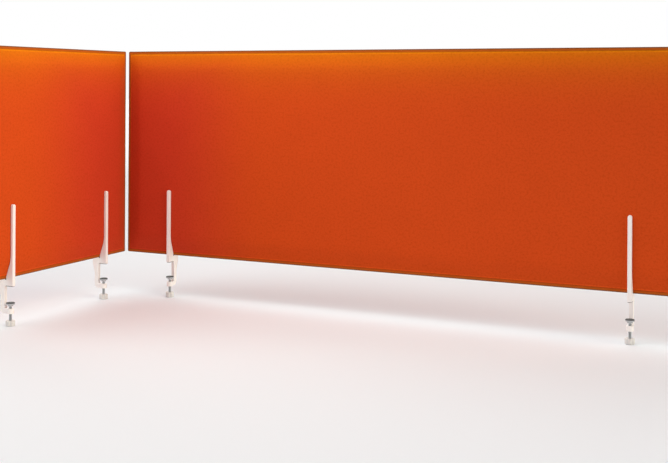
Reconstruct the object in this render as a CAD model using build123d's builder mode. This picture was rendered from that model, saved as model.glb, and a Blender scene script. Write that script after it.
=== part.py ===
from build123d import *
from math import atan, cos, degrees, tan
import os

# A rear panel and a side panel, each dropped into two fork clamps on a desk top's edge.
# Frame: the desk top's upper face is z = 0. The two panels' middle planes, which stand over the desk's back
# edge (y = 0) and its side edge (x = 0), meet on the Z axis. The desk lies towards +X and -Y.

# Upholstered panels
panel_height = 590
rear_length = 1600
side_length = 620
panel_thickness = 30
panel_lift = 19  # desk top to the panel's lower edge
rear_start = 9  # rear panel's left end, from the side panel's middle plane
side_start = 4  # side panel's far end, from the rear panel's middle plane
rim_width = 7.4  # thin flat rim round the panel
rim_thickness = 3
bevel_run = 40  # from the rim to the flat face
bevel_round = 70  # radius where the bevel rolls into the flat face
corner_radius = 4
cover_thickness = 0.8
tongue_depth = 9  # edge strip's tongue, glued between the two pads
core_thickness = 1.4  # of the tongue and of the core board inside it
core_gap = 0.6  # core board to the tongue
pad_inset = 3  # pad's edge, from the rim

# Fork clamps: how far in from each panel's two ends they stand
rear_first = 154.5
rear_last = 145.5
side_first = 117.5
side_last = 116.5
fork_height = 208
fork_width = 10
fork_depth = 46
edge_softness = 1.2
slot_floor = 16.3  # bottom of the slot that takes the panel's rim
slot_gap = 0.4  # each side of the rim in the slot
liner_thickness = 1
liner_width = 8
liner_low = 30
liner_high = 200
liner_gap = 0.3  # liner to panel
seat_gap = 0.3  # seat pad to the panel's rim

# Clamp under the fork, as closed on a desk top of this thickness
desk_thickness = 41
desk_least = 25
desk_most = 46
edge_stop = 3  # clamp's spine, back from the panel's middle plane
spine_depth = 13
spine_taper = 26  # height over which the fork's depth narrows to the spine
arm_height = 13
arm_clearance = 1.5  # arm to the pressure disc, jaw wide open
throat_radius = 3
heel_radius = 11
jaw_pad_thickness = 1.2
jaw_pad_setback = 2.5  # pad to the spine's face
screw_offset = 12  # screw's axis, in from the panel's middle plane
boss_radius = 9
screw_radius = 3.9
thread_gap = 0.1
disc_radius = 11
disc_thickness = 3
disc_pad_thickness = 1.5
collar_radius = 6.5
collar_height = 4
ball_radius = 3.4
ball_gap = 0.3
neck_radius = 2.5
neck_length = 1.6
knob_radius = 12
knob_height = 14
knob_clearance = 1  # arm to knob, jaw closed on the thinnest desk top
knob_bore_gap = 0.05
knob_lobes = 7
knob_groove_radius = 3.2
knob_blind = 4  # knob below the screw's end

half_panel = panel_thickness / 2
half_rim = rim_thickness / 2
half_depth = fork_depth / 2
bevel_rise = half_panel - half_rim
bevel_angle = atan(bevel_rise / bevel_run)
rim_top = panel_lift + rim_width
liner_face_gap = liner_gap + liner_thickness
slot_half = half_rim + slot_gap

disc_top = -desk_thickness - disc_pad_thickness
collar_bottom = disc_top - disc_thickness - collar_height
arm_top = collar_bottom - (desk_most - desk_thickness) - arm_clearance
arm_bottom = arm_top - arm_height
knob_top = arm_bottom - (desk_thickness - desk_least) - knob_clearance
knob_bottom = knob_top - knob_height

os.makedirs("parts", exist_ok=True)


# ---- panels ----


def panel_form(face, length, drop):
    """Half of a panel's padded form, lowered by drop, added to the builder that is open."""
    with BuildSketch(face) as outline:
        Rectangle(length - 2 * rim_width, panel_height - 2 * rim_width)
    block = extrude(outline.sketch, amount=half_panel - drop)
    flat = block.faces().sort_by(Axis(face.origin, face.z_dir))[-1]
    chamfer(flat.edges(), bevel_run, bevel_rise, reference=flat)


def make_panel(name, middle, length):
    """A panel's core, two moulded pads, two fabric covers and the strip round its edge."""
    tongue_inset = rim_width + tongue_depth
    core_inset = tongue_inset + core_gap
    with BuildPart() as core:
        with BuildSketch(middle):
            Rectangle(length - 2 * core_inset, panel_height - 2 * core_inset)
        extrude(amount=core_thickness / 2, both=True)
    core.part.label = f"{name}_core_board"
    export_step(core.part, f"parts/{name}_core_board.step")

    with BuildPart() as strip:
        with BuildSketch(middle):
            RectangleRounded(length, panel_height, corner_radius)
        extrude(amount=half_rim, both=True)
        chamfer(strip.edges(), half_rim / 2)
        with BuildSketch(middle):
            Rectangle(length - 2 * rim_width, panel_height - 2 * rim_width)
        extrude(amount=half_rim, both=True, mode=Mode.SUBTRACT)
        with BuildSketch(middle):
            Rectangle(length - 2 * rim_width, panel_height - 2 * rim_width)
            Rectangle(length - 2 * tongue_inset, panel_height - 2 * tongue_inset, mode=Mode.SUBTRACT)
        extrude(amount=core_thickness / 2, both=True)
    strip.part.label = f"{name}_edge_strip"
    export_step(strip.part, f"parts/{name}_edge_strip.step")

    back = Plane(middle.origin, x_dir=-middle.x_dir, z_dir=-middle.z_dir)
    for side, face in (("front", middle), ("back", back)):
        outward = Axis(face.origin, face.z_dir)

        with BuildPart() as pad:
            panel_form(face, length, cover_thickness)
            fillet(pad.faces().sort_by(outward)[-1].edges(), bevel_round)

        with BuildPart() as cover:
            panel_form(face, length, 0)
            fillet(cover.faces().sort_by(outward)[-1].edges(), bevel_round)
            add(pad.part, mode=Mode.SUBTRACT)
        cover.part.label = f"{name}_{side}_cover"
        export_step(cover.part, f"parts/{name}_{side}_cover.step")

        with pad:
            with BuildSketch(face.offset(core_thickness / 2)):
                pad_edge = rim_width + pad_inset
                Rectangle(length - 2 * pad_edge, panel_height - 2 * pad_edge)
            extrude(amount=half_panel, mode=Mode.INTERSECT)
        pad.part.label = f"{name}_{side}_pad"
        export_step(pad.part, f"parts/{name}_{side}_pad.step")


rear_middle = Plane(
    origin=(rear_start + rear_length / 2, 0, panel_lift + panel_height / 2), x_dir=(1, 0, 0), z_dir=(0, -1, 0)
)
side_middle = Plane(
    origin=(0, -side_start - side_length / 2, panel_lift + panel_height / 2), x_dir=(0, 1, 0), z_dir=(1, 0, 0)
)
make_panel("rear_panel", rear_middle, rear_length)
make_panel("side_panel", side_middle, side_length)


# ---- fork clamps ----


def bevel_height(depth, gap):
    """Height at which a line clear of the panel's bevel by gap stands this far from the middle plane."""
    return rim_top + (depth - half_rim - gap / cos(bevel_angle)) / tan(bevel_angle)


def bevel_depth(height, gap):
    """Depth of the same line at this height."""
    return half_rim + gap / cos(bevel_angle) + (height - rim_top) * tan(bevel_angle)


def cradle_points(depth, gap, top):
    """One side of the panel's outline at this gap: up the bevel from a depth, then up the flat face."""
    face = half_panel + gap
    return [(depth, bevel_height(depth, gap)), (face, bevel_height(face, gap)), (face, top)]


def make_fork(place, upright, screw_place):
    """The painted casting: two prongs, their cradle, the upper jaw, the spine and the lower arm."""
    shoulder = fork_height - fork_width / 2
    spine_back = edge_stop + spine_depth
    with BuildPart() as fork:
        with BuildSketch(upright):
            with BuildLine():
                Polyline(
                    (half_depth, jaw_pad_thickness),
                    (half_depth, fork_height),
                    (-half_depth, fork_height),
                    (-half_depth, 0),
                    (-spine_back, -spine_taper),
                    (-spine_back, arm_bottom),
                    (screw_offset, arm_bottom),
                    (screw_offset, arm_top),
                    (-edge_stop, arm_top),
                    (-edge_stop, jaw_pad_thickness),
                    close=True,
                )
            make_face()
        extrude(amount=fork_width / 2, both=True)
        sideways = Axis(upright.origin, upright.z_dir)
        across = Axis(upright.origin, upright.x_dir)
        heel = fork.edges().filter_by(sideways).group_by(Axis.Z)[0].sort_by(across)[0]
        fillet(heel, heel_radius)
        arm_edges = fork.edges().filter_by(sideways).filter_by_position(Axis.Z, arm_top, arm_top)
        fillet(arm_edges.sort_by(across)[0], throat_radius)
        facing = Plane(origin=upright.origin, x_dir=upright.z_dir, z_dir=-upright.x_dir)
        with BuildSketch(facing):
            with Locations((0, arm_bottom)):
                Rectangle(fork_width, shoulder - arm_bottom, align=(Align.CENTER, Align.MIN))
            with Locations((0, shoulder)):
                Circle(fork_width / 2)
        extrude(amount=half_depth, both=True, mode=Mode.INTERSECT)
        flanks = fork.faces().filter_by(sideways)
        sharp = [edge for edge in flanks.edges() if abs(edge.center().Z - shoulder) > 0.01]
        sharp += fork.edges().filter_by(GeomType.CIRCLE).filter_by(lambda edge: edge.radius == fork_width / 2)
        fillet(sharp, edge_softness)
        # The cradle's own edges stay sharp, for the felt strips to lie flush with.
        cradle = cradle_points(slot_half, liner_face_gap, fork_height)
        cradle_round = bevel_round + liner_face_gap
        with BuildSketch(upright):
            with BuildLine():
                right = FilletPolyline(*cradle, radius=cradle_round)
                left = FilletPolyline(*[(-depth, height) for depth, height in cradle], radius=cradle_round)
                Line(right @ 1, left @ 1)
                Polyline(right @ 0, (slot_half, slot_floor), (-slot_half, slot_floor), left @ 0)
            make_face()
        extrude(amount=fork_width / 2, both=True, mode=Mode.SUBTRACT)
        with BuildSketch(Plane.XY.offset(arm_bottom)):
            with Locations(screw_place):
                Circle(boss_radius)
        extrude(amount=arm_height)
        with BuildSketch(Plane.XY.offset(arm_bottom)):
            with Locations(screw_place):
                Circle(screw_radius + thread_gap)
        extrude(amount=arm_height, mode=Mode.SUBTRACT)
    fork.part.label = f"{place}_fork"
    export_step(fork.part, f"parts/{place}_fork.step")


def make_linings(place, upright):
    """The two felt strips in the cradle, the rubber seat in the slot and the rubber jaw pad."""
    for side, sign in (("front", 1), ("back", -1)):
        with BuildPart() as liner:
            with BuildSketch(upright):
                with BuildLine():
                    near_face = FilletPolyline(
                        *lining_points(sign, liner_gap), radius=bevel_round + liner_gap
                    )
                    far_face = FilletPolyline(
                        *lining_points(sign, liner_face_gap), radius=bevel_round + liner_face_gap
                    )
                    Line(near_face @ 0, far_face @ 0)
                    Line(near_face @ 1, far_face @ 1)
                make_face()
            extrude(amount=liner_width / 2, both=True)
        liner.part.label = f"{place}_{side}_liner"
        export_step(liner.part, f"parts/{place}_{side}_liner.step")

    with BuildPart() as seat:
        with BuildSketch(upright):
            with Locations((0, slot_floor)):
                Rectangle(2 * slot_half, panel_lift - seat_gap - slot_floor, align=(Align.CENTER, Align.MIN))
        extrude(amount=liner_width / 2, both=True)
    seat.part.label = f"{place}_seat_pad"
    export_step(seat.part, f"parts/{place}_seat_pad.step")

    with BuildPart() as jaw_pad:
        with BuildSketch(upright):
            with Locations((jaw_pad_setback - edge_stop, 0)):
                pad_depth = half_depth + edge_stop - jaw_pad_setback - edge_softness
                Rectangle(pad_depth, jaw_pad_thickness, align=(Align.MIN, Align.MIN))
        extrude(amount=liner_width / 2, both=True)
        fillet(jaw_pad.edges().filter_by(Axis.Z), edge_softness)
    jaw_pad.part.label = f"{place}_jaw_pad"
    export_step(jaw_pad.part, f"parts/{place}_jaw_pad.step")


def lining_points(sign, gap):
    """The cradle's line from the liner's lower end to its upper one, on the side that sign gives."""
    points = cradle_points(bevel_depth(liner_low, gap), gap, liner_high)
    return [(sign * depth, height) for depth, height in points]


def make_clamp(place, screw_place):
    """The pressure disc and its rubber face, the clamping screw with its ball end, and the lobed knob."""
    x, y = screw_place
    screw_axis = Plane(origin=(x, y, 0), x_dir=(1, 0, 0), z_dir=(0, -1, 0))
    plate_bottom = disc_top - disc_thickness
    ball_centre = collar_bottom + ball_radius / 2
    socket_top = ball_centre + ball_radius + ball_gap

    with BuildPart() as disc_pad:
        with BuildSketch(Plane.XY.offset(disc_top)):
            with Locations(screw_place):
                Circle(disc_radius)
        extrude(amount=disc_pad_thickness)
        chamfer(disc_pad.edges().group_by(Axis.Z)[-1], disc_pad_thickness / 2)
    disc_pad.part.label = f"{place}_disc_pad"
    export_step(disc_pad.part, f"parts/{place}_disc_pad.step")

    with BuildPart() as disc:
        with BuildSketch(screw_axis):
            with BuildLine():
                Polyline(
                    (0, disc_top),
                    (disc_radius, disc_top),
                    (disc_radius, plate_bottom),
                    (collar_radius, plate_bottom),
                    (collar_radius, collar_bottom),
                    (ball_radius + ball_gap, collar_bottom),
                    (ball_radius + ball_gap, socket_top),
                    (0, socket_top),
                    close=True,
                )
            make_face()
        revolve(axis=Axis(screw_axis.origin, (0, 0, 1)))
    disc.part.label = f"{place}_pressure_disc"
    export_step(disc.part, f"parts/{place}_pressure_disc.step")

    with BuildPart() as screw:
        with BuildSketch(screw_axis):
            with BuildLine():
                neck_height = ball_centre - (ball_radius**2 - neck_radius**2) ** 0.5
                shank_top = neck_height - neck_length
                ball = ThreePointArc(
                    (0, ball_centre + ball_radius), (ball_radius, ball_centre), (neck_radius, neck_height)
                )
                Polyline(
                    ball @ 1,
                    (neck_radius, shank_top),
                    (screw_radius, shank_top),
                    (screw_radius, knob_bottom + knob_blind),
                    (0, knob_bottom + knob_blind),
                    ball @ 0,
                )
            make_face()
        revolve(axis=Axis(screw_axis.origin, (0, 0, 1)))
    screw.part.label = f"{place}_clamp_screw"
    export_step(screw.part, f"parts/{place}_clamp_screw.step")

    with BuildPart() as knob:
        with BuildSketch(Plane.XY.offset(knob_bottom)):
            with Locations(screw_place):
                Circle(knob_radius)
                with PolarLocations(knob_radius + knob_groove_radius / 2, knob_lobes):
                    Circle(knob_groove_radius, mode=Mode.SUBTRACT)
        extrude(amount=knob_height)
        chamfer(knob.edges().group_by(Axis.Z)[0] + knob.edges().group_by(Axis.Z)[-1], edge_softness)
        with BuildSketch(Plane.XY.offset(knob_top)):
            with Locations(screw_place):
                Circle(screw_radius + knob_bore_gap)
        extrude(amount=knob_blind - knob_height, mode=Mode.SUBTRACT)
    knob.part.label = f"{place}_screw_knob"
    export_step(knob.part, f"parts/{place}_screw_knob.step")


rear_side = Vector(0, -1, 0)
side_side = Vector(1, 0, 0)
places = (
    ("rear_left", rear_start + rear_first, 0, rear_side),
    ("rear_right", rear_start + rear_length - rear_last, 0, rear_side),
    ("side_far", 0, -side_start - side_first, side_side),
    ("side_near", 0, side_last - side_start - side_length, side_side),
)
for place, x, y, inward in places:
    upright = Plane(origin=(x, y, 0), x_dir=inward, z_dir=inward.cross(Vector(0, 0, 1)))
    screw_place = (x + screw_offset * inward.X, y + screw_offset * inward.Y)
    make_fork(place, upright, screw_place)
    make_linings(place, upright)
    make_clamp(place, screw_place)
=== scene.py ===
from math import atan2, cos, pi, radians, sin, sqrt, tan

import bmesh
import bpy
from mathutils import Matrix, Vector


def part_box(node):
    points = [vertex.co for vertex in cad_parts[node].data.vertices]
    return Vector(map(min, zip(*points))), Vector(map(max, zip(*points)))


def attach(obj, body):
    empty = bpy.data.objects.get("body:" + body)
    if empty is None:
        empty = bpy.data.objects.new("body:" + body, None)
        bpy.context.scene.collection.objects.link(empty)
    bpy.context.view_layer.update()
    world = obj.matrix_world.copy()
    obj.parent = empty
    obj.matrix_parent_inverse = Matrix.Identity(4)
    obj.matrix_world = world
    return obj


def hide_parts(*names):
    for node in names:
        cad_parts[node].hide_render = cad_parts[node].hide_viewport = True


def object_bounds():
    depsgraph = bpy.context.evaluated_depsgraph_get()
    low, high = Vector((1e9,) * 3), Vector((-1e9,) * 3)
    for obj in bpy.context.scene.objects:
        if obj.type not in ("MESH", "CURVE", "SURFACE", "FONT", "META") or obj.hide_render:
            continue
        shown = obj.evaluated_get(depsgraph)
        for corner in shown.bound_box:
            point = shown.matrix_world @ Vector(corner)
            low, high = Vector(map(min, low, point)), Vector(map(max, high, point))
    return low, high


bl_info = {
    "name": "Desk Privacy Panels",
    "version": (1, 0, 0),
    "blender": (4, 5, 0),
    "location": "View3D > Sidebar > Desk Panels",
    "description": "Upholsters, edges and finishes two desk privacy panels and their fork clamps",
    "category": "Object",
}

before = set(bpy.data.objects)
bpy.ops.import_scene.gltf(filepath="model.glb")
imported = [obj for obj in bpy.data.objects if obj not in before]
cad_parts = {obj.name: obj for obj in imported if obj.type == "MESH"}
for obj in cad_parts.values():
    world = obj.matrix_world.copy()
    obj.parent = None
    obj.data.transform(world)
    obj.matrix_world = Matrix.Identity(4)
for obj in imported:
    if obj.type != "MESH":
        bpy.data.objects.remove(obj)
cad_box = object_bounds()

PANELS = ("rear_panel", "side_panel")
SIDES = ("front", "back")
PLACES = ("rear_left", "rear_right", "side_far", "side_near")
MM = 0.001
UP = Vector((0, 0, 1))

# The edging's tongue, which is glued between the two pads: half its thickness, and its width.
HALF_TONGUE = 0.7 * MM
TONGUE_WIDTH = 9 * MM

# A cover's sheet is an even grid as far out as this distance from the rim. From there it goes down over the
# bevel in rings, which lie closer together where the cloth curves more.
GRID_CELL = 30 * MM
GRID_INSET = 56 * MM
RING_INSETS = [
    inset * MM for inset in (50, 44, 39, 34, 29, 24, 19, 15, 11, 8, 6, 4.5, 3.2, 2.2, 1.4, 0.8, 0.35, 0.1, 0)]

# The cloth's roll beside the rim: it is full this far in, then sinks over this length until this far in.
ROLL_RISE = 2.2 * MM
ROLL_FALL = 20 * MM
ROLL_END = 22 * MM

# Tones of the wool, as multipliers of its red, green and blue.
PLAIN = (1, 1, 1, 1)
# Painted top light: the cloth more orange towards its top.
TOP_LIGHT_TINT = (1.03, 2.45, 0.22, 1)
# Painted shade: deeper crimson in the inner corner.
CORNER_SHADE_TINT = (0.91, 0.63, 1.6, 1)
# Painted highlight: a lighter line just inside the rim.
RIM_HIGHLIGHT_TINT = (1.2, 1.42, 1.25, 1)
# Painted shade: darker cloth in the crease beside the rim.
CREASE_SHADE_TINT = (0.74, 0.85, 0.7, 1)
CLOUD_DARK = (0.985, 0.985, 0.985, 1)
CLOUD_LIGHT = (1.01, 1.01, 1.01, 1)

# How late and steeply two things grow on the way up the cloth: its painted top light, and the light on it
# that clears the painted corner shade.
TOP_LIGHT_POWER = 6.0
LIGHT_POWER = 4.0

WHITE = (1, 1, 1, 1)

# Sockets of a Mix node of colours: its factor, its two colours and its result.
FACTOR, FIRST, SECOND, RESULT = 0, 6, 7, 2


def linear(code):
    """An sRGB hex colour as linear RGBA."""
    channels = [int(code[i:i + 2], 16) / 255 for i in (1, 3, 5)]
    return (*[c / 12.92 if c <= 0.04045 else ((c + 0.055) / 1.055) ** 2.4 for c in channels], 1)


def length(name, description, default):
    """A size in metres that the user may change."""
    return bpy.props.FloatProperty(
        name=name, description=description, default=default, min=0, precision=5, unit="LENGTH",
        subtype="DISTANCE")


def colour(name, description, code):
    """A colour that the user may change."""
    return bpy.props.FloatVectorProperty(
        name=name, description=description, default=linear(code), size=4, min=0, max=1, subtype="COLOR")


def brightness(name, description, default):
    """A strength of light that the user may change."""
    return bpy.props.FloatProperty(name=name, description=description, default=default, min=0)


def angle(name, description, degrees):
    """An angle that the user may change."""
    return bpy.props.FloatProperty(
        name=name, description=description, default=radians(degrees), unit="ROTATION", subtype="ANGLE")


def point(name, description, default):
    """A place in metres that the user may change."""
    return bpy.props.FloatVectorProperty(
        name=name, description=description, default=default, size=3, unit="LENGTH", subtype="TRANSLATION")


def direction(name, description, default):
    """A direction that the user may change."""
    return bpy.props.FloatVectorProperty(
        name=name, description=description, default=default, size=3, subtype="DIRECTION")


# ---- sizes and colours ----


class PanelUpholstery(bpy.types.PropertyGroup):
    """The padded faces and the edging of both panels."""

    rim_width: length("Rim width", "Flat rim outside the padding", 7.4 * MM)
    corner: length("Corner radius", "Rounding of the rim's four corners", 4 * MM)
    rim_thickness: length("Rim thickness", "Thickness of the rim and of the edging", 3 * MM)
    bevel_run: length("Bevel run", "From the rim to the flat face", 40 * MM)
    shoulder: length("Shoulder radius", "Where the bevel rolls into the flat face", 70 * MM)
    roll: length("Roll height", "How far the cloth bulges just inside the rim", 0.9 * MM)
    cloth: length("Cloth thickness", "Thickness of the woven cover", 0.8 * MM)
    hem: length("Hem width", "Cloth turned in over the strip's tongue", 6 * MM)
    # Height over which painted top light turns the cloth more orange towards the top.
    fade: length("Fade height", "How far down from the top the cloth has faded", 320 * MM)
    # Where the painted corner shade is full, and how far from the corner it reaches.
    deepest: length("Deepest length", "How far from the inner corner the cloth is at its deepest", 150 * MM)
    corner_shade_reach: length("Sheltered length", "How far from the inner corner the cloth is shaded", 500 * MM)
    thread: length("Thread spacing", "From one warp thread to the next", 1.25 * MM)
    wool: colour("Wool", "Main colour of the woven wool", "#CD4019")
    wool_dark: colour("Dark wool", "Darker fibres in the melange", "#B82E09")
    wool_light: colour("Light wool", "Lighter, more orange fibres in the melange", "#DC571F")
    edging: colour("Edging", "Colour of the pressed edge band", "#C05A0C")
    edging_dark: colour("Dark edging", "Darker fibres in the pressed edge band", "#A34A10")
    # Painted shade: the band's rolled outer edge is painted darker.
    edge_shade: colour("Sealed edge", "Colour of the band's outermost edge", "#7E4A1E")


class ClampHardware(bpy.types.PropertyGroup):
    """The fork clamps' screws, knobs and finishes."""

    pitch: length("Thread pitch", "Travel of the screw in one turn", 1.25 * MM)
    thread_depth: length("Thread depth", "From the thread's crest to its root", 0.72 * MM)
    lobe_depth: length("Lobe depth", "Depth of the grip's hollows", 1.6 * MM)
    paint: colour("Powder coat", "Colour of the painted castings", "#FBF7F3")
    steel: colour("Zinc", "Colour of the zinc-plated steel", "#B9BBBC")
    plastic: colour("Knob plastic", "Colour of the moulded knobs", "#DDDBD7")
    rubber: colour("Rubber", "Colour of the rubber pads", "#2B2A2A")
    felt: colour("Liner felt", "Colour of the felt strips in the cradle", "#A7A29B")


class StudioStage(bpy.types.PropertyGroup):
    """Camera, lamps and floor."""

    eye: point("Eye", "Where the camera stands", (1.9069, -2.6660, 0.5175))
    turn: angle("Turn", "Camera's turn to the left of the rear panel's normal", 24.77)
    roll: angle("Roll", "Camera's small roll about its own axis", 0.306)
    lens: bpy.props.FloatProperty(
        name="Lens", description="Focal length on a 36 mm sensor", default=58.608, min=10, unit="CAMERA")
    shift: bpy.props.FloatProperty(
        name="Shift", description="Vertical shift that keeps uprights parallel", default=-0.2213)
    world_level: brightness("World level", "Even light from all round", 0.32)
    world_tint: colour("World tint", "Slight rose tint of the even light", "#FFF0F8")
    right_level: brightness("Right light", "Strength of the broad light from the right", 1.86)
    right_tint: colour("Right tint", "Warmth of the broad light from the right", "#FFFAE4")
    right_from: direction("Right from", "Where the right light comes from", (0.93, -0.03, 0.36))
    left_level: brightness("Left light", "Strength of the broad light from the upper left", 1.14)
    left_from: direction("Left from", "Where the left light comes from", (-0.55, -0.5, 0.67))
    back_level: brightness("Back light", "Strength of the broad light from behind", 1.2)
    back_from: direction("Back from", "Where the back light comes from", (-0.5, 0.8, 0.6))
    spread: angle("Spread", "How wide each broad light looks from the object", 60)
    box_level: brightness("Soft box", "Power of the soft box over the corner, in watts", 3.0)
    box_place: point("Soft box place", "Where the soft box hangs, facing down", (0.4, -0.35, 1.0))
    box_length: length("Soft box length", "Length of the soft box", 1.2)
    box_width: length("Soft box width", "Width of the soft box", 0.5)
    lamp_tint: colour("Lamp tint", "Slight warmth of the other lamps", "#FFFAF4")
    floor: colour("Floor", "Colour of the studio floor", "#E9F1F6")
    sweep_start: length("Sweep start", "How far out the floor starts to whiten", 3.0)
    sweep_end: length("Sweep end", "How far out the floor is at its whitest", 9.0)
    near_lift: brightness("Near lift", "White that the near floor shows of its own", 0.05)
    far_lift: brightness("Far lift", "White that the far floor shows of its own", 0.4)


# ---- shared steps ----


def node_middle(node):
    """The middle of a CAD node's box."""
    low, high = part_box(node)
    return (low + high) / 2


def items_of(result, kind):
    """The vertices or the edges that a bmesh operator has made."""
    return [item for item in result["geom"] if isinstance(item, kind)]


def new_object(name, mesh, material, smooth):
    """Makes a bmesh into an object of the scene with one material."""
    data = bpy.data.meshes.new(name)
    mesh.to_mesh(data)
    mesh.free()
    for polygon in data.polygons:
        polygon.use_smooth = smooth
    data.materials.append(material)
    made = bpy.data.objects.new(name, data)
    bpy.context.scene.collection.objects.link(made)
    return made


def new_piece(name, mesh, body, material, smooth=True):
    """Makes a bmesh into a piece that rides on a body, with one material."""
    piece = new_object(name, mesh, material, smooth)
    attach(piece, body)
    return piece


def keep_edges_sharp(piece, degrees):
    """Shades a smooth piece with a hard edge wherever it turns by more than an angle."""
    sharp = piece.modifiers.new("edges", "EDGE_SPLIT")
    sharp.split_angle = radians(degrees)


def finish_node(node, material):
    """Gives a CAD node its material."""
    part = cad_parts[node]
    part.data.materials.clear()
    part.data.materials.append(material)


def connect(tree, node, inputs):
    """Gives each named socket of a node its value or its link."""
    for socket, value in inputs.items():
        if isinstance(value, bpy.types.NodeSocket):
            tree.links.new(value, node.inputs[socket])
        else:
            node.inputs[socket].default_value = value


def add(tree, kind, inputs, **settings):
    """Adds a shader node with its settings, its values and its links."""
    node = tree.nodes.new(kind)
    for name, value in settings.items():
        setattr(node, name, value)
    connect(tree, node, inputs)
    return node


def start_material(name):
    """An empty node material, with its tree and its surface shader."""
    material = bpy.data.materials.new(name)
    material.use_nodes = True
    tree = material.node_tree
    tree.nodes.clear()
    shader = add(tree, "ShaderNodeBsdfPrincipled", {})
    add(tree, "ShaderNodeOutputMaterial", {"Surface": shader.outputs["BSDF"]})
    return material, tree, shader


def two_tones(tree, pattern, low, high, start, end):
    """A colour that goes evenly from one tone to another as a pattern goes from start to end."""
    share = add(tree, "ShaderNodeMapRange", {"Value": pattern, "From Min": start, "From Max": end})
    mixed = add(tree, "ShaderNodeMix", {FACTOR: share.outputs[0], FIRST: low, SECOND: high},
                data_type="RGBA")
    return mixed.outputs[RESULT]


def seen(tree):
    """One where a surface is seen, straight or in metal or glass, and none where it only sends light."""
    path = add(tree, "ShaderNodeLightPath", {})
    most = path.outputs["Is Camera Ray"]
    for ray in ("Is Glossy Ray", "Is Transmission Ray"):
        most = add(tree, "ShaderNodeMath", {0: most, 1: path.outputs[ray]}, operation="MAXIMUM").outputs[0]
    return most


# ---- materials ----


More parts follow.
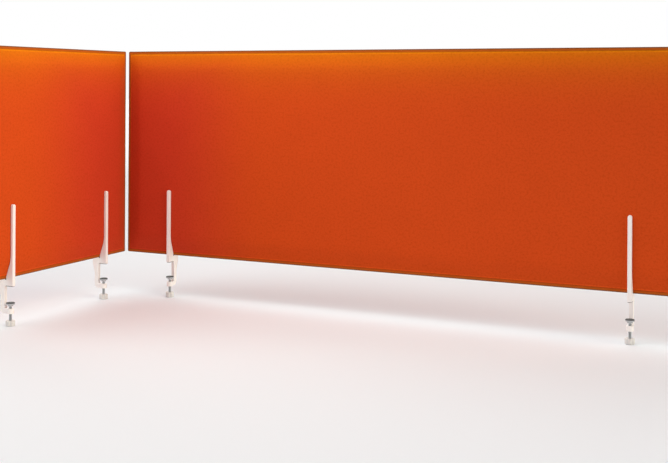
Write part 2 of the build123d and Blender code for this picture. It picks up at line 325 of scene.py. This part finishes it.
def woven_wool(sizes):
    """Woven wool felt cloth: matt, with a short nap that catches light at its edges, and mottled fibres."""
    material, tree, shader = start_material("woven_wool")
    place = add(tree, "ShaderNodeTexCoord", {})
    sheet = place.outputs["UV"]
    # Plain weave: each thread is round across its width and dips under the next one along its length.
    threads = add(tree, "ShaderNodeVectorMath", {0: sheet, "Scale": 1 / sizes.thread}, operation="SCALE")
    apart = add(tree, "ShaderNodeSeparateXYZ", {"Vector": threads.outputs["Vector"]})
    waves = []
    for axis in ("X", "Y"):
        turn = add(tree, "ShaderNodeMath", {0: apart.outputs[axis], 1: pi}, operation="MULTIPLY")
        swing = add(tree, "ShaderNodeMath", {0: turn.outputs[0]}, operation="SINE")
        waves.append(add(tree, "ShaderNodeMath", {0: swing.outputs[0]}, operation="ABSOLUTE").outputs[0])
    over = add(tree, "ShaderNodeTexChecker", {"Vector": threads.outputs["Vector"], "Scale": 1.0})
    crest = add(tree, "ShaderNodeMix", {0: over.outputs["Fac"], 2: waves[0], 3: waves[1]})
    # Fibres: 2 mm tufts of the two wool tones. Grain under 2 mm is too fine to show, so it is drawn at
    # 6 mm too. Clouds 90 mm wide are the dye's slight unevenness.
    tufts = add(tree, "ShaderNodeTexNoise", {"Vector": sheet, "Scale": 1 / (2 * MM), "Detail": 2.0})
    grain = add(tree, "ShaderNodeTexNoise", {"Vector": sheet, "Scale": 1 / (6 * MM), "Detail": 3.0})
    clouds = add(tree, "ShaderNodeTexNoise", {"Vector": sheet, "Scale": 1 / (90 * MM), "Detail": 2.0})
    dark = two_tones(tree, grain.outputs["Fac"], sizes.wool_dark, sizes.wool, 0.3, 0.55)
    mottled = add(tree, "ShaderNodeMix", {
        FACTOR: tufts.outputs["Fac"], FIRST: dark, SECOND: sizes.wool_light}, data_type="RGBA")
    cloud = two_tones(tree, clouds.outputs["Fac"], CLOUD_DARK, CLOUD_LIGHT, 0.35, 0.65)
    dyed = add(tree, "ShaderNodeMix", {FACTOR: 1.0, FIRST: mottled.outputs[RESULT], SECOND: cloud},
               data_type="RGBA", blend_type="MULTIPLY")
    # Painted top light: towards its top the cloth is painted a little more orange, as light from above makes
    # it look.
    spot = add(tree, "ShaderNodeSeparateXYZ", {"Vector": place.outputs["Object"]})
    _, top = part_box("rear_panel_edge_strip")
    rise = add(tree, "ShaderNodeMapRange", {
        "Value": spot.outputs["Z"], "From Min": top.z - sizes.fade, "From Max": top.z})
    steep = add(tree, "ShaderNodeMath", {0: rise.outputs[0], 1: TOP_LIGHT_POWER}, operation="POWER")
    painted_top_light = add(tree, "ShaderNodeMix", {FACTOR: steep.outputs[0], FIRST: PLAIN, SECOND: TOP_LIGHT_TINT},
                 data_type="RGBA")
    lightened = add(tree, "ShaderNodeMix", {
        FACTOR: 1.0, FIRST: dyed.outputs[RESULT], SECOND: painted_top_light.outputs[RESULT]},
        data_type="RGBA", blend_type="MULTIPLY")
    # Painted shade: inside the corner where the panels meet there is the least light, so the cloth is painted
    # a deeper crimson there, below the painted top light and on the inner faces only.
    away = add(tree, "ShaderNodeMath", {0: spot.outputs["X"], 1: spot.outputs["Y"]}, operation="SUBTRACT")
    bare = add(tree, "ShaderNodeMapRange", {
        "Value": away.outputs[0], "From Min": sizes.deepest, "From Max": sizes.corner_shade_reach},
        interpolation_type="SMOOTHSTEP")
    high = add(tree, "ShaderNodeMath", {0: rise.outputs[0], 1: LIGHT_POWER}, operation="POWER")
    outer = add(tree, "ShaderNodeAttribute", {}, attribute_name="outer_face")
    open_side = add(tree, "ShaderNodeMath", {0: bare.outputs[0], 1: high.outputs[0]}, operation="MAXIMUM")
    lit = add(tree, "ShaderNodeMath", {0: open_side.outputs[0], 1: outer.outputs["Fac"]},
              operation="MAXIMUM")
    corner_shaded = add(tree, "ShaderNodeMix", {FACTOR: lit.outputs[0], FIRST: CORNER_SHADE_TINT, SECOND: PLAIN},
               data_type="RGBA")
    top_and_corner_painted = add(tree, "ShaderNodeMix", {
        FACTOR: 1.0, FIRST: lightened.outputs[RESULT], SECOND: corner_shaded.outputs[RESULT]},
        data_type="RGBA", blend_type="MULTIPLY")
    # Painted shade and highlight: beside the rim the cloth is painted darker, as shade in its crease, and
    # next to that lighter, as a highlight where it rolls up from the rim.
    inset = add(tree, "ShaderNodeAttribute", {}, attribute_name="inset").outputs["Fac"]
    rim_highlight = two_tones(tree, inset, RIM_HIGHLIGHT_TINT, PLAIN, 3 * MM, 6 * MM)
    pressed = two_tones(tree, inset, CREASE_SHADE_TINT, rim_highlight, 1.5 * MM, 3 * MM)
    wool_with_painted_light = add(tree, "ShaderNodeMix", {FACTOR: 1.0, FIRST: top_and_corner_painted.outputs[RESULT], SECOND: pressed},
               data_type="RGBA", blend_type="MULTIPLY")
    height = add(tree, "ShaderNodeMath", {0: crest.outputs[0], 1: tufts.outputs["Fac"]}, operation="ADD")
    bump = add(tree, "ShaderNodeBump", {
        "Height": height.outputs[0], "Distance": 0.22 * MM, "Strength": 0.6})
    connect(tree, shader, {
        "Base Color": wool_with_painted_light.outputs[RESULT], "Roughness": 0.92, "IOR": 1.45, "Specular IOR Level": 0.04,
        "Sheen Weight": 0.15, "Sheen Roughness": 0.5, "Sheen Tint": linear("#FFB000"),
        "Normal": bump.outputs["Normal"]})
    return material


def pressed_band(sizes):
    """Wool cloth pressed flat and bound with resin at the panel's edge: harder, darker, a little shinier,
    with painted shade on its outermost edge.
    """
    material, tree, shader = start_material("pressed_edge_band")
    place = add(tree, "ShaderNodeTexCoord", {}).outputs["Object"]
    fibres = add(tree, "ShaderNodeTexNoise", {"Vector": place, "Scale": 1 / (1.5 * MM), "Detail": 3.0})
    tone = two_tones(tree, fibres.outputs["Fac"], sizes.edging_dark, sizes.edging, 0.25, 0.6)
    # Painted shade: the band's outermost 2 mm, on its rolled edge, are darker.
    inset = add(tree, "ShaderNodeAttribute", {}, attribute_name="inset").outputs["Fac"]
    band = two_tones(tree, inset, sizes.edge_shade, tone, 2.2 * MM, 3.4 * MM)
    bump = add(tree, "ShaderNodeBump", {
        "Height": fibres.outputs["Fac"], "Distance": 0.12 * MM, "Strength": 0.5})
    connect(tree, shader, {
        "Base Color": band, "Roughness": 0.75, "IOR": 1.48, "Specular IOR Level": 0.15,
        "Normal": bump.outputs["Normal"]})
    return material


def powder_coat(tone):
    """Polyester powder coat on die-cast zinc: satin, with a fine orange peel that softens reflections."""
    material, tree, shader = start_material("satin_powder_coat")
    place = add(tree, "ShaderNodeTexCoord", {}).outputs["Object"]
    peel = add(tree, "ShaderNodeTexNoise", {"Vector": place, "Scale": 1 / (0.9 * MM), "Detail": 2.0})
    flow = add(tree, "ShaderNodeTexNoise", {"Vector": place, "Scale": 1 / (14 * MM), "Detail": 2.0})
    rough = add(tree, "ShaderNodeMapRange", {
        "Value": flow.outputs["Fac"], "From Min": 0.3, "From Max": 0.7, "To Min": 0.3, "To Max": 0.4})
    bump = add(tree, "ShaderNodeBump", {
        "Height": peel.outputs["Fac"], "Distance": 0.03 * MM, "Strength": 0.4})
    connect(tree, shader, {
        "Base Color": tone, "Roughness": rough.outputs[0], "IOR": 1.5, "Normal": bump.outputs["Normal"]})
    return material


def zinc_plate(tone):
    """Zinc-plated turned steel: silver with a faint bluish cast and fine cloudy spots of duller plating."""
    material, tree, shader = start_material("zinc_plated_steel")
    place = add(tree, "ShaderNodeTexCoord", {}).outputs["Object"]
    spots = add(tree, "ShaderNodeTexNoise", {"Vector": place, "Scale": 1 / (1.2 * MM), "Detail": 3.0})
    haze = add(tree, "ShaderNodeMapRange", {"Value": spots.outputs["Fac"], "To Min": 0.26, "To Max": 0.42})
    tint = two_tones(tree, spots.outputs["Fac"], linear("#A9ACB0"), tone, 0.3, 0.6)
    connect(tree, shader, {"Base Color": tint, "Metallic": 1.0, "Roughness": haze.outputs[0]})
    return material


def moulded_nylon(tone):
    """Glass-filled nylon, injection moulded: matt from a spark-eroded grain."""
    material, tree, shader = start_material("moulded_nylon")
    place = add(tree, "ShaderNodeTexCoord", {}).outputs["Object"]
    # Grain of this kind is nearer 0.2 mm, which is too fine to show, so it is drawn at 0.5 mm.
    grit = add(tree, "ShaderNodeTexNoise", {"Vector": place, "Scale": 1 / (0.5 * MM), "Detail": 2.0})
    bump = add(tree, "ShaderNodeBump", {
        "Height": grit.outputs["Fac"], "Distance": 0.05 * MM, "Strength": 0.5})
    connect(tree, shader, {
        "Base Color": tone, "Roughness": 0.48, "IOR": 1.53, "Normal": bump.outputs["Normal"]})
    return material


def soft_rubber(tone):
    """Moulded nitrile rubber: near black and dull, with a faint bloom."""
    material, tree, shader = start_material("nitrile_rubber")
    place = add(tree, "ShaderNodeTexCoord", {}).outputs["Object"]
    bloom = add(tree, "ShaderNodeTexNoise", {"Vector": place, "Scale": 1 / (3 * MM), "Detail": 3.0})
    shade = two_tones(tree, bloom.outputs["Fac"], tone, linear("#3A3939"), 0.4, 0.8)
    connect(tree, shader, {"Base Color": shade, "Roughness": 0.75, "IOR": 1.52})
    return material


def needled_felt(name, tone, pale):
    """Needle-punched polyester felt: matted fibres a few millimetres long, with no shine."""
    material, tree, shader = start_material(name)
    place = add(tree, "ShaderNodeTexCoord", {}).outputs["Object"]
    mat = add(tree, "ShaderNodeTexNoise", {
        "Vector": place, "Scale": 1 / (1.4 * MM), "Detail": 4.0, "Distortion": 1.2})
    shade = two_tones(tree, mat.outputs["Fac"], tone, pale, 0.3, 0.7)
    bump = add(tree, "ShaderNodeBump", {
        "Height": mat.outputs["Fac"], "Distance": 0.25 * MM, "Strength": 0.7})
    connect(tree, shader, {
        "Base Color": shade, "Roughness": 0.95, "IOR": 1.45, "Specular IOR Level": 0.15,
        "Sheen Weight": 0.15, "Normal": bump.outputs["Normal"]})
    return material


def fibreboard():
    """Plain medium-density fibreboard: tan, with pressed fibres of mixed brown."""
    material, tree, shader = start_material("plain_fibreboard")
    place = add(tree, "ShaderNodeTexCoord", {}).outputs["Object"]
    flakes = add(tree, "ShaderNodeTexNoise", {"Vector": place, "Scale": 1 / (1.8 * MM), "Detail": 4.0})
    shade = two_tones(tree, flakes.outputs["Fac"], linear("#8F6B46"), linear("#B8946A"), 0.3, 0.7)
    connect(tree, shader, {"Base Color": shade, "Roughness": 0.85, "IOR": 1.5})
    return material


def painted_floor(stage):
    """A smooth floor in dull emulsion paint, which shows no highlight and takes the object's shadow."""
    material, tree, shader = start_material("painted_floor")
    place = add(tree, "ShaderNodeTexCoord", {}).outputs["Object"]
    # Far off, the floor whitens into the backdrop, as a studio sweep does.
    reach = add(tree, "ShaderNodeVectorMath", {0: place}, operation="LENGTH")
    white = add(tree, "ShaderNodeMapRange", {
        "Value": reach.outputs["Value"], "From Min": stage.sweep_start, "From Max": stage.sweep_end,
        "To Min": stage.near_lift, "To Max": stage.far_lift}, interpolation_type="SMOOTHSTEP")
    lift = add(tree, "ShaderNodeMath", {0: seen(tree), 1: white.outputs[0]}, operation="MULTIPLY")
    connect(tree, shader, {
        "Base Color": stage.floor, "Roughness": 0.8, "Specular IOR Level": 0.0,
        "Emission Color": WHITE, "Emission Strength": lift.outputs[0]})
    return material


# ---- panels ----


def panel_place(panel, side):
    """Matrix from a panel's own flat sheet, X along it, Y up and Z outward, to its place on one side."""
    middle = node_middle(f"{panel}_core_board")
    outward = Vector((0, -1, 0)) if panel == "rear_panel" else Vector((1, 0, 0))
    if side == "back":
        outward = -outward
    along = UP.cross(outward)
    turn = Matrix((along, UP, outward)).transposed().to_4x4()
    return Matrix.Translation(middle) @ turn


def panel_size(panel):
    """Length and height of a panel, from its edge strip, and its thickness, from its covers."""
    low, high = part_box(f"{panel}_edge_strip")
    span = high - low
    front_low, front_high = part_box(f"{panel}_front_cover")
    back_low, back_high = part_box(f"{panel}_back_cover")
    if panel == "rear_panel":
        return span.x, span.z, back_high.y - front_low.y
    return span.y, span.z, front_high.x - back_low.x


def cover_height(inset, sizes, top):
    """Height of the cloth over the middle plane at a distance in from the rim."""
    base = sizes.rim_thickness / 2
    slope = (top - base) / sizes.bevel_run
    tilt = atan2(top - base, sizes.bevel_run)
    reach = sizes.shoulder * tan(tilt / 2)
    low = sizes.bevel_run - reach * cos(tilt)
    high = sizes.bevel_run + reach
    if inset >= high:
        height = top
    elif inset > low:
        height = top - sizes.shoulder + sqrt(sizes.shoulder ** 2 - (high - inset) ** 2)
    else:
        height = base + slope * inset
    rise = min(inset / ROLL_RISE, 1)
    fall = max(0, min(1, (ROLL_END - inset) / ROLL_FALL))
    return height + sizes.roll * sqrt(1 - (1 - rise) ** 2) * fall * fall * (3 - 2 * fall)


def make_cover(panel, side, sizes, material):
    """One woven cover: a flat sheet drawn down over the bevel to the rim, with its hem turned in."""
    long_side, high_side, thickness = panel_size(panel)
    top = thickness / 2
    half = Vector((long_side / 2 - sizes.rim_width, high_side / 2 - sizes.rim_width))
    flat = half - Vector((GRID_INSET, GRID_INSET))
    mesh = bmesh.new()
    bmesh.ops.create_grid(
        mesh, x_segments=round(long_side / GRID_CELL), y_segments=round(high_side / GRID_CELL), size=1)
    bmesh.ops.scale(mesh, vec=(flat.x, flat.y, 1), verts=mesh.verts)
    bmesh.ops.translate(mesh, vec=(0, 0, top), verts=mesh.verts)
    from_rim = mesh.verts.layers.float.new("inset")
    for vertex in mesh.verts:
        vertex[from_rim] = GRID_INSET
    rim = [edge for edge in mesh.edges if edge.is_boundary]
    hem_height = sizes.rim_thickness / 2 - HALF_TONGUE
    rings = [(inset, cover_height(inset, sizes, top)) for inset in RING_INSETS]
    rings += [(0.0, hem_height), (sizes.hem, hem_height)]
    last_inset, last_level = GRID_INSET, top
    for inset, level in rings:
        made = bmesh.ops.extrude_edge_only(mesh, edges=rim)
        ring = items_of(made, bmesh.types.BMVert)
        rim = [edge for edge in items_of(made, bmesh.types.BMEdge) if edge.is_boundary]
        grow = Vector(((half.x - inset) / (half.x - last_inset), (half.y - inset) / (half.y - last_inset), 1))
        bmesh.ops.scale(mesh, vec=grow, verts=ring)
        bmesh.ops.translate(mesh, vec=(0, 0, level - last_level), verts=ring)
        for vertex in ring:
            vertex[from_rim] = inset
        last_inset, last_level = inset, level
    bmesh.ops.recalc_face_normals(mesh, faces=mesh.faces)
    highest = max(mesh.faces, key=lambda face: face.calc_center_median().z)
    if highest.normal.z < 0:
        bmesh.ops.reverse_faces(mesh, faces=mesh.faces)
    outer = mesh.verts.layers.float.new("outer_face")
    for vertex in mesh.verts:
        vertex[outer] = side == "back"
    weave = mesh.loops.layers.uv.new("weave")
    for face in mesh.faces:
        for loop in face.loops:
            loop[weave].uv = loop.vert.co.xy
    bmesh.ops.transform(mesh, matrix=panel_place(panel, side), verts=mesh.verts)
    cover = new_piece(f"{panel}_{side}_upholstery", mesh, panel, material)
    wall = cover.modifiers.new("cloth", "SOLIDIFY")
    wall.thickness = sizes.cloth
    wall.offset = -1
    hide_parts(f"{panel}_{side}_cover")


def shrink_ring(mesh, ring, half, insets, lift, corner):
    """Moves a rounded rectangle from one inset to another, its corners' radius less as it goes in."""
    least = 0.04 * MM
    bends = [max(corner - inset, least) for inset in insets]
    ratio = bends[1] / bends[0]
    for along in (-1, 1):
        for up in (-1, 1):
            bend = [vertex for vertex in ring if vertex.co.x * along > 0 and vertex.co.y * up > 0]
            centres = [Vector((along * (half.x - inset - radius), up * (half.y - inset - radius), 0))
                       for inset, radius in zip(insets, bends)]
            bmesh.ops.translate(mesh, vec=-centres[0], verts=bend)
            bmesh.ops.scale(mesh, vec=(ratio, ratio, 1), verts=bend)
            bmesh.ops.translate(mesh, vec=centres[1] + Vector((0, 0, lift)), verts=bend)


def edging_section(sizes):
    """The edging's section, as distances in from its edge and heights: tongue, step, face and rolled edge."""
    rim_width = sizes.rim_width
    half_thick = sizes.rim_thickness / 2
    # The step from the tongue up to the face leans outwards and has its top edge eased.
    lean = 0.2 * MM
    ease_down = 0.25 * MM
    ease_in = 0.3 * MM
    upper = [(rim_width + TONGUE_WIDTH, HALF_TONGUE), (rim_width + lean, HALF_TONGUE),
             (rim_width, half_thick - ease_down), (rim_width - ease_in, half_thick)]
    roll = [(half_thick * (1 - sin(radians(turn))), half_thick * cos(radians(turn)))
            for turn in range(0, 181, 18)]
    lower = [(inset, -level) for inset, level in reversed(upper)]
    return [*upper, *roll, *lower]


def make_edging(panel, sizes, material):
    """The pressed band round a panel, with its rolled edge and the tongue between the pads."""
    long_side, high_side, _ = panel_size(panel)
    half = Vector((long_side / 2, high_side / 2))
    mesh = bmesh.new()
    from_edge = mesh.verts.layers.float.new("inset")
    # A circle of four points, turned by an eighth, is a square with sides of 2.
    bmesh.ops.create_circle(mesh, cap_ends=False, radius=sqrt(2), segments=4)
    bmesh.ops.rotate(mesh, cent=(0, 0, 0), matrix=Matrix.Rotation(pi / 4, 3, "Z"), verts=mesh.verts)
    bmesh.ops.scale(mesh, vec=(half.x, half.y, 1), verts=mesh.verts)
    bmesh.ops.bevel(
        mesh, geom=mesh.verts[:], offset=sizes.corner, offset_type="OFFSET", segments=6, profile=0.5,
        affect="VERTICES", material=-1)
    first = mesh.edges[:]
    rim = first
    ring = mesh.verts[:]
    last_inset, last_level = 0, 0
    for step, (inset, level) in enumerate(edging_section(sizes)):
        if step > 0:
            made = bmesh.ops.extrude_edge_only(mesh, edges=rim)
            ring = items_of(made, bmesh.types.BMVert)
            rim = [edge for edge in items_of(made, bmesh.types.BMEdge)
                   if edge.verts[0] in ring and edge.verts[1] in ring]
        shrink_ring(mesh, ring, half, (last_inset, inset), level - last_level, sizes.corner)
        for vertex in ring:
            vertex[from_edge] = inset
        last_inset, last_level = inset, level
    bmesh.ops.bridge_loops(mesh, edges=rim + first)
    bmesh.ops.remove_doubles(mesh, verts=mesh.verts, dist=0.01 * MM)
    bmesh.ops.recalc_face_normals(mesh, faces=mesh.faces)
    bmesh.ops.transform(mesh, matrix=panel_place(panel, "front"), verts=mesh.verts)
    edging = new_piece(f"{panel}_edging", mesh, panel, material, smooth=False)
    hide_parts(f"{panel}_edge_strip")


# ---- clamps ----


def make_screw(place, hardware, material):
    """The clamping screw: a rolled thread from the knob to its neck, and the ball that turns in the disc."""
    low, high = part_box(f"{place}_clamp_screw")
    axis = (low + high) / 2
    crest = (high.x - low.x) / 2
    root = crest - hardware.thread_depth
    pitch = hardware.pitch
    ball = 3.4 * MM
    neck = 2.5 * MM
    neck_length = 1.6 * MM
    overlap = 0.6 * MM
    ball_centre = high.z - ball
    shank_top = ball_centre - sqrt(ball ** 2 - neck ** 2) - neck_length
    mesh = bmesh.new()
    # The thread is spun past both ends of the shank and then cut to length.
    turns = int((shank_top - low.z) / pitch) + 3
    steps = 20
    # One pitch of the thread: its root, the two edges of its crest and its next root.
    section = [(root, 0), (crest, 0.42), (crest, 0.58), (root, 1)]
    chain = [mesh.verts.new((radius, 0, low.z - pitch + share * pitch)) for radius, share in section]
    links = [mesh.edges.new(pair) for pair in zip(chain, chain[1:])]
    bmesh.ops.spin(
        mesh, geom=chain + links, cent=(0, 0, 0), axis=(0, 0, 1), dvec=(0, 0, pitch / steps),
        angle=2 * pi * turns, steps=steps * turns, use_duplicate=False)
    bmesh.ops.remove_doubles(mesh, verts=mesh.verts, dist=0.005 * MM)
    for end, outward in ((low.z, -1), (shank_top, 1)):
        bmesh.ops.bisect_plane(
            mesh, geom=mesh.verts[:] + mesh.edges[:] + mesh.faces[:], plane_co=(0, 0, end),
            plane_no=(0, 0, outward), clear_outer=True)
        cut = [edge for edge in mesh.edges
               if edge.is_boundary and all(abs(vertex.co.z - end) < 0.001 * MM for vertex in edge.verts)]
        bmesh.ops.holes_fill(mesh, edges=cut, sides=0)
    tip = bmesh.ops.create_uvsphere(mesh, u_segments=24, v_segments=14, radius=ball)
    bmesh.ops.translate(mesh, vec=(0, 0, ball_centre), verts=tip["verts"])
    stem = bmesh.ops.create_cone(
        mesh, cap_ends=True, segments=24, radius1=neck, radius2=neck,
        depth=ball_centre - shank_top + overlap)
    bmesh.ops.translate(mesh, vec=(0, 0, (ball_centre + shank_top - overlap) / 2), verts=stem["verts"])
    bmesh.ops.recalc_face_normals(mesh, faces=mesh.faces)
    bmesh.ops.translate(mesh, vec=(axis.x, axis.y, 0), verts=mesh.verts)
    screw = new_piece(f"{place}_threaded_screw", mesh, f"{place}_screw", material)
    keep_edges_sharp(screw, 32)
    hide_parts(f"{place}_clamp_screw")


def make_knob(place, hardware, material):
    """The lobed knob: rounded hollows for the fingers, soft rims, and a dish in each end."""
    low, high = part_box(f"{place}_screw_knob")
    axis = (low + high) / 2
    radius = (high.y - low.y) / 2
    lobes = 7
    columns = 18 * lobes
    roundness = 1.6
    rim_radius = 1.4 * MM
    border = 1.6 * MM
    slope = 0.6 * MM
    lower_dish = 1.0 * MM
    upper_dish = 0.5 * MM
    mesh = bmesh.new()
    bmesh.ops.create_cone(
        mesh, cap_ends=True, segments=columns, radius1=radius, radius2=radius, depth=high.z - low.z)
    bmesh.ops.translate(mesh, vec=axis, verts=mesh.verts)
    for vertex in mesh.verts:
        turn = atan2(vertex.co.y - axis.y, vertex.co.x - axis.x)
        hollow = hardware.lobe_depth * (0.5 + 0.5 * cos(lobes * turn)) ** roundness
        vertex.co -= Vector((cos(turn), sin(turn), 0)) * hollow
    ends = [face for face in mesh.faces if len(face.verts) > 4]
    rims = [edge for face in ends for edge in face.edges]
    bmesh.ops.bevel(
        mesh, geom=rims, offset=rim_radius, offset_type="OFFSET", segments=4, profile=0.5,
        affect="EDGES", clamp_overlap=True, material=-1)
    for end in [face for face in mesh.faces if len(face.verts) > 4]:
        dish = lower_dish if end.normal.z < 0 else upper_dish
        bmesh.ops.inset_region(mesh, faces=[end], thickness=border, depth=0, use_even_offset=False)
        bmesh.ops.inset_region(mesh, faces=[end], thickness=slope, depth=-dish, use_even_offset=False)
    bmesh.ops.recalc_face_normals(mesh, faces=mesh.faces)
    knob = new_piece(f"{place}_knob", mesh, f"{place}_screw", material)
    keep_edges_sharp(knob, 40)
    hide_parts(f"{place}_screw_knob")


# ---- stage ----


def place_camera(stage):
    """The camera, turned to the left and rolled a little, with a vertical shift in place of a tilt."""
    eye = bpy.data.cameras.new("camera")
    eye.sensor_width = 36
    eye.lens = stage.lens
    eye.shift_y = stage.shift
    eye.clip_start = 0.05
    eye.clip_end = 100
    camera = bpy.data.objects.new("camera", eye)
    camera.location = stage.eye
    camera.rotation_euler = (pi / 2, -stage.roll, stage.turn)
    bpy.context.scene.collection.objects.link(camera)
    bpy.context.scene.camera = camera


def light_world(stage):
    """An even light from all round, which is seen as a white backdrop."""
    world = bpy.data.worlds.new("studio")
    bpy.context.scene.world = world
    world.use_nodes = True
    tree = world.node_tree
    tree.nodes.clear()
    even = add(tree, "ShaderNodeBackground", {"Color": stage.world_tint, "Strength": stage.world_level})
    backdrop = add(tree, "ShaderNodeBackground", {"Color": WHITE, "Strength": 1.0})
    both = add(tree, "ShaderNodeMixShader", {0: seen(tree), 1: even.outputs[0], 2: backdrop.outputs[0]})
    add(tree, "ShaderNodeOutputWorld", {"Surface": both.outputs[0]})


def lay_floor(stage):
    """A floor 60 m wide, a hair under the object's lowest point."""
    low, _ = cad_box
    half_width = 30
    gap = 0.2 * MM
    mesh = bmesh.new()
    bmesh.ops.create_grid(mesh, x_segments=1, y_segments=1, size=half_width)
    bmesh.ops.translate(mesh, vec=(0, 0, low.z - gap), verts=mesh.verts)
    new_object("studio_floor", mesh, painted_floor(stage), smooth=False)


def hang_lamp(name, kind, strength, tint):
    """A lamp of a kind, a strength and a tint, not yet aimed."""
    light = bpy.data.lights.new(name, kind)
    light.energy = strength
    light.color = tint[:3]
    lamp = bpy.data.objects.new(name, light)
    bpy.context.scene.collection.objects.link(lamp)
    return lamp


def hang_lamps(stage):
    """Three broad lamps and a soft box over the corner."""
    for name, strength, tint, source in (
        ("right_light", stage.right_level, stage.right_tint, stage.right_from),
        ("left_light", stage.left_level, stage.lamp_tint, stage.left_from),
        ("back_light", stage.back_level, stage.lamp_tint, stage.back_from),
    ):
        broad = hang_lamp(name, "SUN", strength, tint)
        broad.data.angle = stage.spread
        broad.rotation_euler = Vector(source).to_track_quat("Z", "Y").to_euler()
    box = hang_lamp("soft_box", "AREA", stage.box_level, stage.lamp_tint)
    box.data.shape = "RECTANGLE"
    box.data.size = stage.box_length
    box.data.size_y = stage.box_width
    box.location = stage.box_place


# ---- operators ----


class DESKPANEL_OT_set_stage(bpy.types.Operator):
    """Set the camera, the lamps, the world light and the floor"""

    bl_idname = "deskpanel.set_stage"
    bl_label = "Set Stage"

    def execute(self, context):
        stage = context.scene.desk_stage
        place_camera(stage)
        light_world(stage)
        lay_floor(stage)
        hang_lamps(stage)
        context.scene.view_settings.view_transform = "Standard"
        return {"FINISHED"}


class DESKPANEL_OT_upholster(bpy.types.Operator):
    """Make the four woven covers and finish the pads and core boards inside them"""

    bl_idname = "deskpanel.upholster"
    bl_label = "Upholster Panels"

    def execute(self, context):
        sizes = context.scene.desk_upholstery
        wool = woven_wool(sizes)
        pad = needled_felt("moulded_pad_felt", linear("#8F8E8B"), linear("#B4B2AE"))
        board = fibreboard()
        for panel in PANELS:
            finish_node(f"{panel}_core_board", board)
            for side in SIDES:
                finish_node(f"{panel}_{side}_pad", pad)
                make_cover(panel, side, sizes, wool)
        return {"FINISHED"}


class DESKPANEL_OT_edge(bpy.types.Operator):
    """Make the pressed band round each panel"""

    bl_idname = "deskpanel.edge"
    bl_label = "Edge Panels"

    def execute(self, context):
        sizes = context.scene.desk_upholstery
        band = pressed_band(sizes)
        for panel in PANELS:
            make_edging(panel, sizes, band)
        return {"FINISHED"}


class DESKPANEL_OT_finish_forks(bpy.types.Operator):
    """Powder coat the four forks, and finish their felt liners and rubber pads"""

    bl_idname = "deskpanel.finish_forks"
    bl_label = "Finish Forks"

    def execute(self, context):
        hardware = context.scene.desk_hardware
        paint = powder_coat(hardware.paint)
        felt = needled_felt("liner_felt", hardware.felt, linear("#C2BDB5"))
        rubber = soft_rubber(hardware.rubber)
        for place in PLACES:
            finish_node(f"{place}_fork", paint)
            for side in SIDES:
                finish_node(f"{place}_{side}_liner", felt)
            for pad in ("seat_pad", "jaw_pad", "disc_pad"):
                finish_node(f"{place}_{pad}", rubber)
        return {"FINISHED"}


class DESKPANEL_OT_fit_screws(bpy.types.Operator):
    """Make the threaded clamping screws and their knobs, and finish the pressure discs"""

    bl_idname = "deskpanel.fit_screws"
    bl_label = "Fit Screws and Knobs"

    def execute(self, context):
        hardware = context.scene.desk_hardware
        zinc = zinc_plate(hardware.steel)
        nylon = moulded_nylon(hardware.plastic)
        for place in PLACES:
            finish_node(f"{place}_pressure_disc", zinc)
            make_screw(place, hardware, zinc)
            make_knob(place, hardware, nylon)
        return {"FINISHED"}


class DESKPANEL_PT_sidebar(bpy.types.Panel):
    """Sizes, colours and steps of the desk panels"""

    bl_idname = "DESKPANEL_PT_sidebar"
    bl_label = "Desk Panels"
    bl_space_type = "VIEW_3D"
    bl_region_type = "UI"
    bl_category = "Desk Panels"

    def draw(self, context):
        layout = self.layout
        scene = context.scene
        for group in (scene.desk_upholstery, scene.desk_hardware, scene.desk_stage):
            box = layout.box()
            for name in group.__annotations__:
                box.prop(group, name)
        for step in STEPS:
            layout.operator(step.bl_idname)


STEPS = (DESKPANEL_OT_set_stage, DESKPANEL_OT_upholster, DESKPANEL_OT_edge, DESKPANEL_OT_finish_forks,
         DESKPANEL_OT_fit_screws)
CLASSES = (PanelUpholstery, ClampHardware, StudioStage, *STEPS, DESKPANEL_PT_sidebar)


def register():
    for item in CLASSES:
        bpy.utils.register_class(item)
    bpy.types.Scene.desk_upholstery = bpy.props.PointerProperty(type=PanelUpholstery)
    bpy.types.Scene.desk_hardware = bpy.props.PointerProperty(type=ClampHardware)
    bpy.types.Scene.desk_stage = bpy.props.PointerProperty(type=StudioStage)


def unregister():
    del bpy.types.Scene.desk_stage
    del bpy.types.Scene.desk_hardware
    del bpy.types.Scene.desk_upholstery
    for item in reversed(CLASSES):
        bpy.utils.unregister_class(item)


def main():
    register()
    bpy.ops.deskpanel.set_stage()
    bpy.ops.deskpanel.upholster()
    bpy.ops.deskpanel.edge()
    bpy.ops.deskpanel.finish_forks()
    bpy.ops.deskpanel.fit_screws()


if __name__ == "__main__":
    main()
